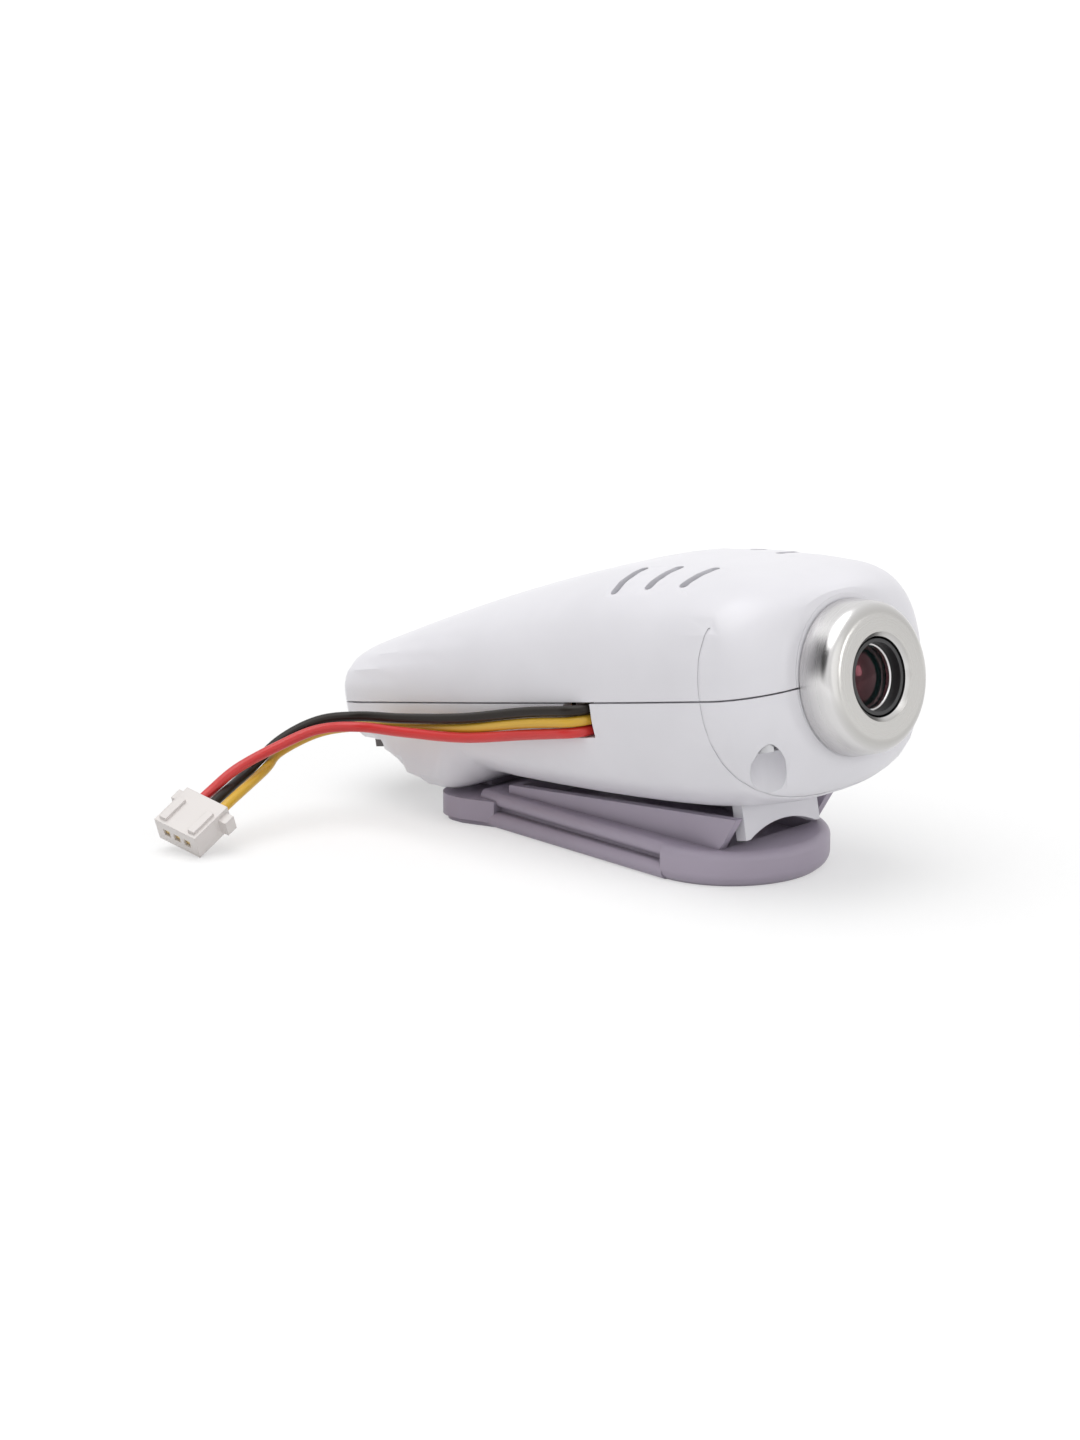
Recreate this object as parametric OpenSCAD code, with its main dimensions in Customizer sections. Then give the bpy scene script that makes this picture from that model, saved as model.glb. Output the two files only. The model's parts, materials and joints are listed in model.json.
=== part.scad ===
// Clip-on camera pod: a white two-shell camera with a bright lens ring, tilting on a
// slide-in shoe. The pod turns about a pin in its rear heel, a memory card slides in
// its tail, and three wires leave the side for a small plug.
// Frame: millimetres, origin on the shoe's underside, +X forward, +Y left, +Z up.

/* [Pod] */
// Length of the pod from its tail to the lens seat
pod_l = 60; // [57:0.5:64]
// Half width of the pod at its tail
tail_w = 10.6; // [9.8:0.1:11.4]
// Half width of the pod at its fullest section
pod_w = 13.7; // [13:0.1:14.6]
// Height of the roof over the seam at the tail
tail_h = 4.2; // [3.8:0.1:5]
// Height of the roof over the seam at its crest
roof_h = 11.6; // [11:0.1:12.6]
// Height of the roof over the seam behind the lens seat
brow_h = 8.9; // [8.4:0.1:9.6]
// Depth of the belly under the seam at the tail
tail_d = 5.2; // [4.8:0.1:5.8]
// Depth of the belly under the seam at its lowest
belly_d = 11.6; // [11.2:0.1:12]
// Wall thickness of both shells
wall = 1.2; // [1:0.05:1.4]
// Nose-up pitch of the pod on the shoe at rest, in degrees
pitch = 11; // [10.5:0.1:11.5]

/* [Heel and hinge] */
// Radius of the heel's rounded back
heel_r = 4.65; // [4.4:0.05:4.8]
// Distance from the tail at which the heel begins to rise to the belly
heel_front = 14.4; // [14.2:0.1:15]
// Diameter of the hinge pin
pin_d = 1.2; // [1:0.1:1.4]
// Width of the shoe's hinge knuckle
knuckle_w = 8.4; // [7.4:0.1:9]
// Radius of the shoe's hinge knuckle
knuckle_r = 1.5; // [1.3:0.05:1.6]

/* [Shoe] */
// Radius of the shoe's round front
shoe_r = 9.6; // [9:0.1:10.2]
// Height of the shoe's plate
shoe_h = 3.4; // [3.2:0.1:3.5]
// Distance of the shoe's front from the origin
shoe_front = 20; // [19:0.1:21]
// Distance of the shoe's back from the origin
shoe_back = 19.8; // [19.7:0.1:20.4]
// Angle at which each side runs in towards the back, in degrees
side_taper = 2.5; // [1.5:0.1:3]
// Outer half width of the cradle walls that the belly rests on
cradle_w = 6.9; // [6.7:0.1:7.4]
// Thickness of the cradle walls
cradle_wall = 0.9; // [0.7:0.1:1]

/* [Lens] */
// Diameter of the lens ring at its seat
ring_d = 14.5; // [13.8:0.1:14.8]
// How far the ring stands out from the pod
ring_out = 3.7; // [3.4:0.1:4.2]
// Diameter of the lens barrel
barrel_d = 7; // [6.6:0.1:7.2]

/* [Memory card] */
// Width of the memory card
card_w = 11; // [10:0.1:11.5]
// Length of the memory card
card_l = 15; // [14:0.1:15.4]
// Thickness of the memory card
card_t = 0.9; // [0.7:0.05:1]

/* [Wires and plug] */
// Diameter of each wire over its insulation
wire_d = 1; // [0.8:0.05:1]
// Distance between the plug's ways
plug_pitch = 1.3; // [1.25:0.05:1.5]
// Length of the plug's housing
plug_l = 4.8; // [4.4:0.1:5.4]
// Thickness of the plug's housing
plug_t = 2.6; // [2.4:0.1:3]

/* [Fits] */
// Running clearance between the pod and the shoe
run_gap = 0.3; // [0.25:0.05:0.35]
// Clearance round pins, screws and the barrel
pin_gap = 0.05; // [0.04:0.01:0.08]
// Half of the gap that shows at the seam
seam_gap = 0.08; // [0.05:0.01:0.12]

/* [Hidden] */

// Form of the pod: where its crests lie and how square its sections are
roof_x = 40;
belly_x = 48;
brow_depth = 10.4;
tail_round = 4.7;
tail_flat = 0.22;
nose_round = 5;
nose_wall = 1.6;
roof_square = 3.3;
belly_square = 2.7;
heel_square = 7;
seat_r = ring_d / 2 + 0.2;
lens_z = -0.3;
arc_steps = 22;
crease_x = pod_l - 6.2;
crease_curve = 0.028;
crease_w = 0.24;
crease_depth = 0.05;

// Heel, and the hinge line in it, both in the pod's frame
heel_x = 13;
heel_drop = 4.2;
heel_slope = 4.6;
heel_lead = 1.8;
heel_blend = 1.4;
hinge_x = 13.3;
hinge_z = -7.3;
hinge_at = [-19.4, 0, 4.6];
boss_r = knuckle_r;
room_front = hinge_x + 2.7;
pin_reach = 9.2;

// Lip of the lower shell, and the rebate of the upper shell round it
lip_h = 0.6;
lip_root = 0.4;
lip_share = 0.55;
lip_gap = 0.15;

// Shoe
front_c = shoe_front - shoe_r;
block_w = 9.6;
block_front = -12.6;
block_h = shoe_h - 0.75;
rail_back = -14.4;
cradle_back = -12;
cradle_front = 15.4;
cradle_lean = 30;
cradle_floor = 2.4;
belly_rest = 6.96;
belly_grade = 5.1;

// Lens train along the axis, from the sensor board forward
board_x = pod_l - 16.4;
board_t = 1;
sensor_t = 0.9;
holder_x = board_x + board_t;
holder_sq = 11;
holder_flange = 3.4;
holder_wall = 1.6;
holder_front = pod_l - 6;
filter_x = holder_x + 1.6;
filter_t = 0.5;
filter_r = 3;
barrel_back = pod_l - 12.4;
barrel_sink = 0.5;
barrel_front = pod_l + ring_out - barrel_sink;
barrel_wall = 0.4;
glass_r = barrel_d / 2 - barrel_wall;
glass_seat = 2.2;
dome_r = 8;
rear_glass_t = 1.2;
rear_seat = 1.8;
retainer_t = 0.5;
retainer_in = 1;
retainer_lip = 0.25;
retainer_back = barrel_front - retainer_in - retainer_t;
dome_rise = dome_r - sqrt(dome_r * dome_r - pow(glass_r - retainer_lip, 2));
glass_front = retainer_back - pin_gap + dome_rise;
ring_bore = barrel_d / 2 + 0.2;

// Main board and what stands on it
main_x = 6.8;
main_end = board_x - 0.3;
main_w = pod_w - 5.5;
main_z = -3.7;
socket_wall = 0.25;
socket_gap = 0.15;
slot_gap = 0.2;
mouth_x = 7.4;
socket_back = 9.4;
card_x = 0.7;
card_z = main_z - socket_wall - socket_gap - card_t;
mouth_z = card_z + card_t + slot_gap + 0.1;
post_r = 1.5;
post_x = [on_board(0.39), board_x - 3.6];
post_y = main_w - 1.8;
pilot_l = 4;
cpu_size = [7, 7, 1.2];
memory_size = [8, 6, 1.1];
crystal_size = [3.2, 2.5, 0.9];
capacitor_size = [1.6, 0.8, 0.8];

// Shell screws at the front corners, and the wells they sit in
screw_x = pod_l - 2.4;
screw_y = pod_w - 3.6;
well_r = 1.65;
well_top = -4.2;
well_taper = 1.8;
lower_post_r = well_r + 0.6;
upper_post_r = well_r + 0.3;
screw_r = 0.75;
screw_top = 3;
hole_top = screw_top + 1.4;
head_r = 1.2;
head_h = 1;

// Wire notch in the side, just under the seam, and the block behind it
notch_x = pod_l - 20.5;
notch_l = 3.6;
notch_d = 3.3;
notch_in = 2.6;
wire_x = notch_x - 0.7;
wire_top = -0.6;
wire_pitch = 1.05;
wire_lean = 0.3;
stub_l = 2;
block_y = pod_w - 2.5;
block_lap = 0.4;
block_top = -0.2;

// Free wires: points between the notch and the plug, with y out from the pod's side
wire_out = 0.5;
black_run = [[-2.9, -0.5, 14.6], [-10.9, -0.5, 12.7], [-19, -0.5, 11.2], [-24.9, -1.1, 10.3],
    [-27.5, -4, 9.8], [-28.8, -7.9, 8.3], [-29.3, -11.8, 5.7]];
yellow_run = [[-2.9, -0.5, 13.5], [-11.2, -0.2, 11.4], [-19.9, 0.4, 9.8], [-25.7, -0.3, 8.9],
    [-28.4, -3.1, 8.3], [-29.6, -7.1, 6.9], [-28.5, -10.1, 5.9]];
red_run = [[-2.8, -0.6, 12.3], [-10.5, -0.9, 10.7], [-18.2, -1.3, 9.9], [-23.9, -2, 9.5],
    [-26.2, -5.2, 9.4], [-27.5, -9.1, 8.3], [-28.3, -13.8, 6.8]];
wire_steps = 3;
wire_sides = 8;

// Plug: its wire end is held up by the lead, and it stands on a corner of its mating end
plug_dip = 29;
plug_roll = 12;
plug_turn = 7;
plug_side = 1.3;
plug_half = plug_pitch + plug_side;
plug_at = [-28.1, -pod_w - 17.2, plug_half * sin(plug_roll) + plug_l * cos(plug_roll) * sin(plug_dip) + 0.03];
plug_wire_z = plug_t / 2;
plug_hole = wire_d / 2 + 0.2;
plug_hole_l = 1.6;
plug_before = 1.4;
plug_inside = 0.8;

function board_screw_x(s) = s > 0 ? post_x[1] : post_x[0];
function lerp(a, b, t) = a + (b - a) * t;
function on_board(share) = lerp(main_x, main_end, share);
function ease(t) = let (s = min(1, max(0, t))) s * s * (3 - 2 * s);

// A size that grows from the tail to a crest and falls again towards the nose
function swell(x, tail, crest, at, nose, rise, fall) = x < at
    ? crest - (crest - tail) * pow((at - x) / at, rise)
    : crest - (crest - nose) * pow((x - at) / (pod_l - at), fall);

// Rounding of the tail, and of the nose down to the lens seat
function tail_share(x) = x < tail_round
    ? pow(1 - pow(1 - (x + tail_flat) / (tail_round + tail_flat), 2.5), 0.4) : 1;
function nose_share(x) = x > pod_l - nose_round
    ? sqrt(max(0, 1 - pow((x - pod_l + nose_round) / nose_round, 2))) : 1;
function shaped(x, size, inset) = tail_share(x) * lerp(seat_r - inset, size - inset, nose_share(x));

// Depth of the heel under the seam, and how far a section belongs to the heel
function heel_depth(x) = heel_drop + (x < heel_x
    ? sqrt(max(0, heel_r * heel_r - pow(x - heel_x, 2)))
    : heel_r + (x - heel_x) * tan(pitch));
function heel_end(x, inset) = 1 - ease((x - heel_front + inset) / heel_slope);
function heel_share(x, inset) = ease(((x - heel_x) / heel_r + heel_lead) / heel_blend) * heel_end(x, inset);

function half_w(x, inset) = shaped(x, swell(x, tail_w, pod_w, belly_x, pod_w, 1.5, 2), inset);
function roof(x, inset) = shaped(x, swell(x, tail_h, roof_h, roof_x, brow_h, 1.4, 1.8), inset);
function plain_belly(x) = swell(x, tail_d, belly_d, belly_x, brow_depth, 1.4, 2);
function belly(x, inset) = shaped(x,
    max(plain_belly(x), lerp(plain_belly(x), heel_depth(x), heel_end(x, inset))), inset);
function square_of(x, up, inset) = lerp(2,
    up ? roof_square : lerp(belly_square, heel_square, heel_share(x, inset)), nose_share(x));

// Where a station of the inner face lies, once the tail and nose walls are taken off
function inner_x(x, inset) = x + inset * max(0, 1 - x / (2 * tail_round))
    - nose_wall * (inset / wall) * max(0, (x - pod_l + nose_round) / nose_round);

// Half of a section as an arc of points from the left seam edge to the right one
function half_arc(x, up, inset, rim) = let (
        w = half_w(x, inset),
        h = up ? roof(x, inset) : belly(x, inset),
        e = square_of(x, up, inset),
        side = up ? 1 : -1)
    [for (k = [0 : arc_steps]) let (
        a = 180 * k / arc_steps,
        r = pow(pow(abs(cos(a)) / w, e) + pow(sin(a) / h, e), -1 / e))
        [inner_x(x, inset), r * cos(a), side * (rim + r * sin(a) * (1 - rim / h))]];

// Stations along the pod; the lower shell has more of them round its heel
tail_stations = [for (k = [0 : 4]) tail_round * (1 - cos(90 * k / 5))];
nose_stations = [for (k = [0 : 6]) pod_l - nose_round + nose_round * sin(15 * k)];
body_from = heel_front + heel_slope;
body_steps = 9;
body_stations = [for (k = [1 : body_steps])
    lerp(body_from, pod_l - nose_round, k / (body_steps + 1))];
roof_stations = concat(tail_stations, [for (k = [0 : 3]) lerp(tail_round, body_from, k / 4)],
    [body_from], body_stations, nose_stations);
heel_stations = [for (a = [-70 : 20 : 10]) heel_x + heel_r * sin(a)];
belly_stations = concat(tail_stations, [tail_round, lerp(tail_round, heel_stations[0], 0.5)],
    heel_stations, [for (k = [0 : 4]) lerp(heel_front, body_from, k / 4)],
    body_stations, nose_stations);

// One half of the pod as a moulded sheet: the loop at each station runs over the outer
// face, across the seam edge, back along the inner face and across the other edge
function sheet_loop(x, up, last) = let (
        out = half_arc(x, up, 0, seam_gap),
        rim = up ? lip_h + lip_gap : lip_root,
        in_raw = half_arc(x, up, wall, rim),
        in = last ? [for (p = in_raw) [pod_l, p.y, p.z]] : in_raw,
        share = up ? lip_share - lip_gap / wall : lip_share,
        right = [lerp(out[arc_steps], in[arc_steps], share), in[arc_steps]],
        left = [lerp(out[0], in[0], share), in[0]],
        lip_z = up ? lip_h + lip_gap : lip_h,
        edge_z = up ? seam_gap : -seam_gap)
    concat(out,
        [[right[0].x, right[0].y, edge_z], [right[0].x, right[0].y, lip_z]],
        up ? [] : [[right[1].x, right[1].y, lip_z]],
        [for (k = [arc_steps : -1 : 0]) in[k]],
        up ? [] : [[left[1].x, left[1].y, lip_z]],
        [[left[0].x, left[0].y, lip_z], [left[0].x, left[0].y, edge_z]]);

function tri(quad) = [[quad[0], quad[1], quad[2]], [quad[0], quad[2], quad[3]]];
function flip(faces, yes) = yes ? [for (f = faces) [for (k = [len(f) - 1 : -1 : 0]) f[k]]] : faces;

module pod_sheet(up) {
    xs = up ? roof_stations : belly_stations;
    n = arc_steps + 1;
    edge = up ? 2 : 3;
    m = 2 * n + 2 * edge;
    loops = concat([for (x = xs) sheet_loop(x, up, false)], [sheet_loop(pod_l, up, true)]);
    rows = len(loops);
    // The outer face stops at the seat, so its last row stands just inside it
    points = [for (i = [0 : rows - 1]) for (j = [0 : m - 1]) let (p = loops[i][j])
        i == rows - 2 && j < n ? [lerp(loops[i - 1][j].x, p.x, 0.7), p.y, p.z] : p];
    skin = [for (i = [0 : rows - 2]) for (j = [0 : m - 1]) let (k = (j + 1) % m)
        each tri([i * m + j, i * m + k, (i + 1) * m + k, (i + 1) * m + j])];
    // The tail is closed by an outer wall, an inner wall and the strips of the seam edge
    right = [for (k = [0 : edge + 1]) n - 1 + k];
    left = [for (k = [0 : edge + 1]) (m - k) % m];
    tail = concat(
        [for (k = [1 : n - 2]) [0, k + 1, k]],
        [for (k = [1 : n - 2]) [n + edge, n + edge + k + 1, n + edge + k]],
        [for (k = [0 : edge]) each tri([right[k], left[k], left[k + 1], right[k + 1]])]);
    // The nose is closed by a flat seat round the lens opening
    a = (rows - 1) * m;
    seat = concat(
        [for (k = [0 : n - 2]) each tri([a + k, a + k + 1, a + m - edge - 2 - k, a + m - edge - 1 - k])],
        [[for (k = [0 : edge + 1]) a + right[k]]],
        [[for (k = [edge + 1 : -1 : 0]) a + left[k]]]);
    polyhedron(points, flip(concat(skin, tail, seat), up));
}

// One half of the pod as a full solid, taken in by an inset
module pod_core(up, inset) {
    xs = up ? roof_stations : belly_stations;
    n = arc_steps + 1;
    rows = len(xs);
    points = [for (x = xs) each half_arc(x, up, inset, 0)];
    skin = [for (i = [0 : rows - 2]) for (j = [0 : n - 1]) let (k = (j + 1) % n)
        each tri([i * n + j, i * n + k, (i + 1) * n + k, (i + 1) * n + j])];
    ends = concat([for (k = [1 : n - 2]) [0, k + 1, k]],
        [for (k = [1 : n - 2]) let (a = (rows - 1) * n) [a, a + k, a + k + 1]]);
    polyhedron(points, flip(concat(skin, ends), up));
}

// Fine crease round the head of the pod: a curved band that stays just under the skin
module crease(up) {
    top = up ? 6.5 : 1 - belly_d;
    steps = 8;
    line = [for (k = [0 : steps]) let (z = top * k / steps) [crease_x + crease_curve * z * z, z]];
    difference() {
        translate([0, 2 * pod_w, 0]) rotate([90, 0, 0]) linear_extrude(4 * pod_w)
            polygon(concat([for (p = line) p - [crease_w / 2, 0]],
                [for (k = [steps : -1 : 0]) line[k] + [crease_w / 2, 0]]));
        pod_core(up, crease_depth);
    }
}

// Places its children in the pod's frame: x from the tail, z from the seam
module in_pod() {
    translate(hinge_at) rotate([0, -pitch, 0]) translate([-hinge_x, 0, -hinge_z]) children();
}

// A rod along the lens axis between two distances from the tail
module axis_rod(r, from, to) {
    translate([from, 0, lens_z]) rotate([0, 90, 0]) cylinder(r = r, h = to - from, $fn = 64);
}

// A rod across the pod along the hinge line
module cross_rod(r, from, to) {
    translate([0, from, 0]) rotate([-90, 0, 0]) cylinder(r = r, h = to - from, $fn = 40);
}

// A block given by its two corners
module block(a, b) {
    translate(a) cube(b - a);
}

// Cross section of one side of the shoe: two rounded bands with the slide groove between
module side_section() {
    low_r = 0.8;
    top_r = 0.7;
    groove = 1.2;
    low_y = shoe_r - low_r;
    top_y = shoe_r - 0.5 - top_r;
    square([low_y, 2 * low_r]);
    translate([low_y, low_r]) circle(r = low_r, $fn = 32);
    square([top_y, shoe_h]);
    translate([top_y, shoe_h - top_r]) circle(r = top_r, $fn = 32);
    square([shoe_r - groove, shoe_h - top_r]);
}

// Cross section of the shoe's round front, with a soft lower edge
module front_section() {
    low_r = 1.2;
    top_r = 0.8;
    square([shoe_r - low_r, shoe_h - top_r]);
    square([shoe_r - top_r, shoe_h]);
    translate([shoe_r - low_r, low_r]) circle(r = low_r, $fn = 32);
    translate([shoe_r - top_r, shoe_h - top_r]) circle(r = top_r, $fn = 32);
    translate([0, low_r]) square([shoe_r, shoe_h - top_r - low_r]);
}

// Rear block that the heel stands over: round corners behind, run into the rails in front
module rear_block() {
    corner = 2.4;
    chamfer = 0.5;
    run_in = 3.6;
    rail_w = shoe_r - (front_c - block_front) * tan(side_taper) - 0.2;
    for (inset = [0, chamfer])
        translate([0, 0, chamfer - inset])
            linear_extrude(block_h - chamfer + inset) {
                for (s = [0, 1])
                    mirror([0, s]) {
                        polygon([[-shoe_back + inset, 0], [-shoe_back + inset, block_w - corner],
                            [-shoe_back + corner, block_w - inset], [block_front - run_in, block_w - inset],
                            [block_front, rail_w - inset], [block_front, 0]]);
                        translate([-shoe_back + corner, block_w - corner])
                            circle(r = corner - inset, $fn = 32);
                    }
            }
}

module shoe_plate() {
    lap = 0.6;
    run = front_c - rail_back + lap;
    translate([front_c, 0, 0]) rotate([0, 0, -90]) rotate_extrude(angle = 180, $fn = 96) front_section();
    for (s = [0, 1])
        mirror([0, s, 0])
            translate([front_c, 0, 0]) rotate([0, 0, side_taper]) rotate([90, 0, -90])
                mirror([1, 0, 0]) translate([0, 0, -lap]) linear_extrude(run) side_section();
    rear_block();
}

// Walls that carry the belly: a wedge along the plate, open at its front
module cradle() {
    top_back = belly_rest - run_gap - (cradle_front - cradle_back) * tan(belly_grade);
    nose = (belly_rest - shoe_h) * tan(cradle_lean);
    inner = cradle_w - cradle_wall;
    difference() {
        translate([0, cradle_w, 0]) rotate([90, 0, 0]) linear_extrude(2 * cradle_w)
            polygon([[cradle_back, cradle_floor], [cradle_front, cradle_floor], [cradle_front, shoe_h],
                [cradle_front + nose, belly_rest - run_gap], [cradle_back, top_back]]);
        block([cradle_back + cradle_wall, -inner, cradle_floor],
            [shoe_front, inner, belly_rest + 1]);
    }
}

// The shoe: plate, cradle and the knuckle that the pod turns on
module base_shoe() color("whitesmoke") {
    neck_back = 0.6;
    neck_front = knuckle_r + 0.8;
    root = 0.5;
    difference() {
        union() {
            difference() {
                shoe_plate();
                block([cradle_back + cradle_wall, -cradle_w + cradle_wall, cradle_floor],
                    [cradle_front, cradle_w - cradle_wall, shoe_h + 1]);
            }
            cradle();
            translate(hinge_at) cross_rod(knuckle_r, -knuckle_w / 2, knuckle_w / 2);
            block([hinge_at.x - neck_back, -knuckle_w / 2, block_h - root],
                [hinge_at.x + neck_front, knuckle_w / 2, hinge_at.z]);
        }
        translate(hinge_at) cross_rod(pin_d / 2 + 2 * pin_gap, -knuckle_w, knuckle_w);
    }
}

// Steel pin of the hinge, held in the heel's two bosses
module hinge_pin() color("silver") {
    translate(hinge_at) cross_rod(pin_d / 2, -pin_reach, pin_reach);
}

// Bosses that hold the hinge pin on both sides of the shoe's knuckle
module hinge_bosses() {
    inner = knuckle_w / 2 + run_gap;
    outer = pin_reach + 0.6;
    for (s = [0, 1])
        mirror([0, s, 0]) translate([hinge_x, 0, hinge_z]) {
            cross_rod(boss_r, inner, outer);
            block([-boss_r, inner, -boss_r], [boss_r, outer, 0]);
        }
}

// Two ribs that hold the sensor board upright between them
module sensor_ribs() {
    gap = 0.1;
    rib = 1;
    rib_y = 5.2;
    rib_w = 0.8;
    top = lens_z - holder_sq / 2 - run_gap;
    for (s = [-1, 1])
        for (x = [board_x - gap - rib, board_x + board_t + gap])
            block([x, s * rib_y - rib_w, -belly_d], [x + rib, s * rib_y + rib_w, top]);
}

// Plate with two points under the belly's front, which drops in front of the cradle
module front_catch() {
    catch_x = 48;
    catch_t = 1.2;
    catch_w = 5.2;
    tip_z = -14.6;
    arch_z = -13.5;
    arch_y = 4.6;
    rise = arch_z - tip_z;
    arch_r = (arch_y * arch_y + rise * rise) / (2 * rise);
    difference() {
        block([catch_x, -catch_w, tip_z], [catch_x + catch_t, catch_w, 0.9 - belly_d]);
        translate([catch_x - 1, 0, arch_z - arch_r]) rotate([0, 90, 0])
            cylinder(r = arch_r, h = catch_t + 2, $fn = 96);
    }
}

// Posts under the main board
module board_posts() {
    for (x = post_x)
        for (s = [-1, 1])
            translate([x, s * post_y, -belly_d]) cylinder(r = post_r, h = belly_d + main_z, $fn = 32);
}

module lower_shell() color("white") {
    in_pod() difference() {
        union() {
            pod_sheet(false);
            intersection() {
                pod_core(false, wall / 2);
                union() {
                    hinge_bosses();
                    sensor_ribs();
                    board_posts();
                    for (s = [-1, 1])
                        translate([screw_x, s * screw_y, -belly_d])
                            cylinder(r = lower_post_r, h = belly_d - 2 * seam_gap, $fn = 40);
                }
            }
            front_catch();
        }
        // Room for the knuckle and its neck as the pod tilts
        block([hinge_x - knuckle_r - 2 * run_gap, -knuckle_w / 2 - run_gap, -belly_d - 2],
            [room_front, knuckle_w / 2 + run_gap, hinge_z + knuckle_r + run_gap]);
        // Pin hole, blind on the side that shows
        translate([hinge_x, 0, hinge_z]) cross_rod(pin_d / 2 + pin_gap, -pin_reach - 0.1, pod_w);
        // Screw wells and their holes
        for (s = [-1, 1])
            translate([screw_x, s * screw_y, 0]) {
                translate([0, 0, -belly_d - 1])
                    cylinder(r = well_r, h = belly_d + 1 + well_top - well_taper, $fn = 40);
                translate([0, 0, well_top - well_taper])
                    cylinder(r1 = well_r, r2 = head_r + pin_gap, h = well_taper, $fn = 40);
                translate([0, 0, well_top - 1])
                    cylinder(r = screw_r + pin_gap, h = hole_top - well_top, $fn = 24);
                cylinder(r = upper_post_r + lip_gap, h = 2 * lip_h, $fn = 40);
            }
        // Pilot holes of the board posts that take a screw
        for (s = [-1, 1])
            translate([board_screw_x(s), s * post_y, main_z - pilot_l])
                cylinder(r = screw_r + pin_gap, h = pilot_l + board_t, $fn = 24);
        // Wire notch
        block([notch_x - notch_l, -pod_w - 1, -notch_d], [notch_x, -pod_w + notch_in, 1]);
        // Card mouth under the tail, and the slot from it into the heel
        block([-1, -pod_w, -belly_d], [mouth_x, pod_w, mouth_z]);
        block([-1, -card_w / 2 - slot_gap, card_z - slot_gap],
            [socket_back + slot_gap, card_w / 2 + slot_gap, card_z + card_t + slot_gap]);
        crease(false);
    }
}

// Shallow grooves in the roof's shoulders, three on each side
module roof_grooves() {
    groove_x = roof_x + 1.6;
    groove_step = 3.8;
    groove_w = 0.9;
    groove_l = 4.4;
    groove_depth = 0.75;
    groove_y = 8.2;
    groove_draw = 0.7;
    rise = 18;
    over = 3;
    for (s = [0, 1])
        mirror([0, s, 0])
            for (k = [0 : 2]) {
                x = groove_x + k * groove_step;
                y = groove_y - groove_draw * k;
                top = roof(x, 0) * pow(1 - pow(y / half_w(x, 0), roof_square), 1 / roof_square);
                translate([x, y, top]) rotate([-rise, 0, 0]) translate([0, 0, -groove_depth]) {
                    block([-groove_w / 2, -groove_l / 2, 0], [groove_w / 2, groove_l / 2, over]);
                    for (e = [-1, 1])
                        translate([0, e * groove_l / 2, 0]) cylinder(d = groove_w, h = over, $fn = 24);
                }
            }
}

module upper_shell() color("white") {
    in_pod() difference() {
        union() {
            pod_sheet(true);
            intersection() {
                pod_core(true, wall / 2);
                for (s = [-1, 1])
                    translate([screw_x, s * screw_y, seam_gap])
                        cylinder(r = upper_post_r, h = roof_h, $fn = 40);
            }
        }
        roof_grooves();
        for (s = [-1, 1])
            translate([screw_x, s * screw_y, -1])
                cylinder(r = screw_r + pin_gap, h = hole_top + 1, $fn = 24);
        crease(true);
    }
}

// Bright ring round the lens: a spigot in the opening, a shadow gap at its foot and a rounded rim
module lens_ring() color("gainsboro") {
    rim_r = 1.4;
    foot_h = 0.15;
    foot_r = ring_d / 2 - 0.4;
    face_r = ring_d / 2 - 0.25;
    spigot_r = seat_r - wall - 0.4;
    spigot_l = 1.2;
    lap = 0.1;
    chamfer = 0.4;
    in_pod() translate([pod_l, 0, lens_z]) rotate([0, 90, 0]) rotate_extrude($fn = 96)
        difference() {
            union() {
                translate([0, -spigot_l]) square([spigot_r, spigot_l + lap]);
                polygon([[0, 0], [foot_r, 0], [foot_r, foot_h], [ring_d / 2, foot_h],
                    [face_r, ring_out - rim_r], [face_r - rim_r, ring_out], [0, ring_out]]);
                translate([face_r - rim_r, ring_out - rim_r]) circle(r = rim_r, $fn = 40);
            }
            translate([-1, -2 * spigot_l]) square([ring_bore + 1, 4 * spigot_l + ring_out]);
            polygon([[0, ring_out - chamfer], [ring_bore, ring_out - chamfer],
                [ring_bore + chamfer + lap, ring_out + lap], [0, ring_out + lap]]);
        }
}

// Black lens barrel with a seat at each end
module lens_barrel() color("black") {
    in_pod() difference() {
        axis_rod(barrel_d / 2, barrel_back, barrel_front);
        axis_rod(glass_r - barrel_wall, barrel_back - 1, barrel_front + 1);
        axis_rod(glass_r + pin_gap, barrel_front - glass_seat, barrel_front + 1);
        axis_rod(glass_r + pin_gap, barrel_back - 1, barrel_back + rear_seat);
    }
}

// Threaded ring that holds the front glass
module lens_retainer() color("silver") {
    in_pod() difference() {
        axis_rod(glass_r, retainer_back, retainer_back + retainer_t);
        axis_rod(glass_r - retainer_lip, barrel_front - glass_seat, barrel_front + 1);
    }
}

// Front element, flat behind and domed in front
module lens_front_glass() color("midnightblue") {
    in_pod() intersection() {
        axis_rod(glass_r, barrel_front - glass_seat, glass_front);
        translate([glass_front - dome_r, 0, lens_z]) sphere(r = dome_r, $fn = 64);
    }
}

module lens_rear_glass() color("lightsteelblue") {
    in_pod() axis_rod(glass_r, barrel_back + rear_seat - rear_glass_t, barrel_back + rear_seat);
}

module ir_filter() color("lightpink") {
    in_pod() axis_rod(filter_r, filter_x, filter_x + filter_t);
}

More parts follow.
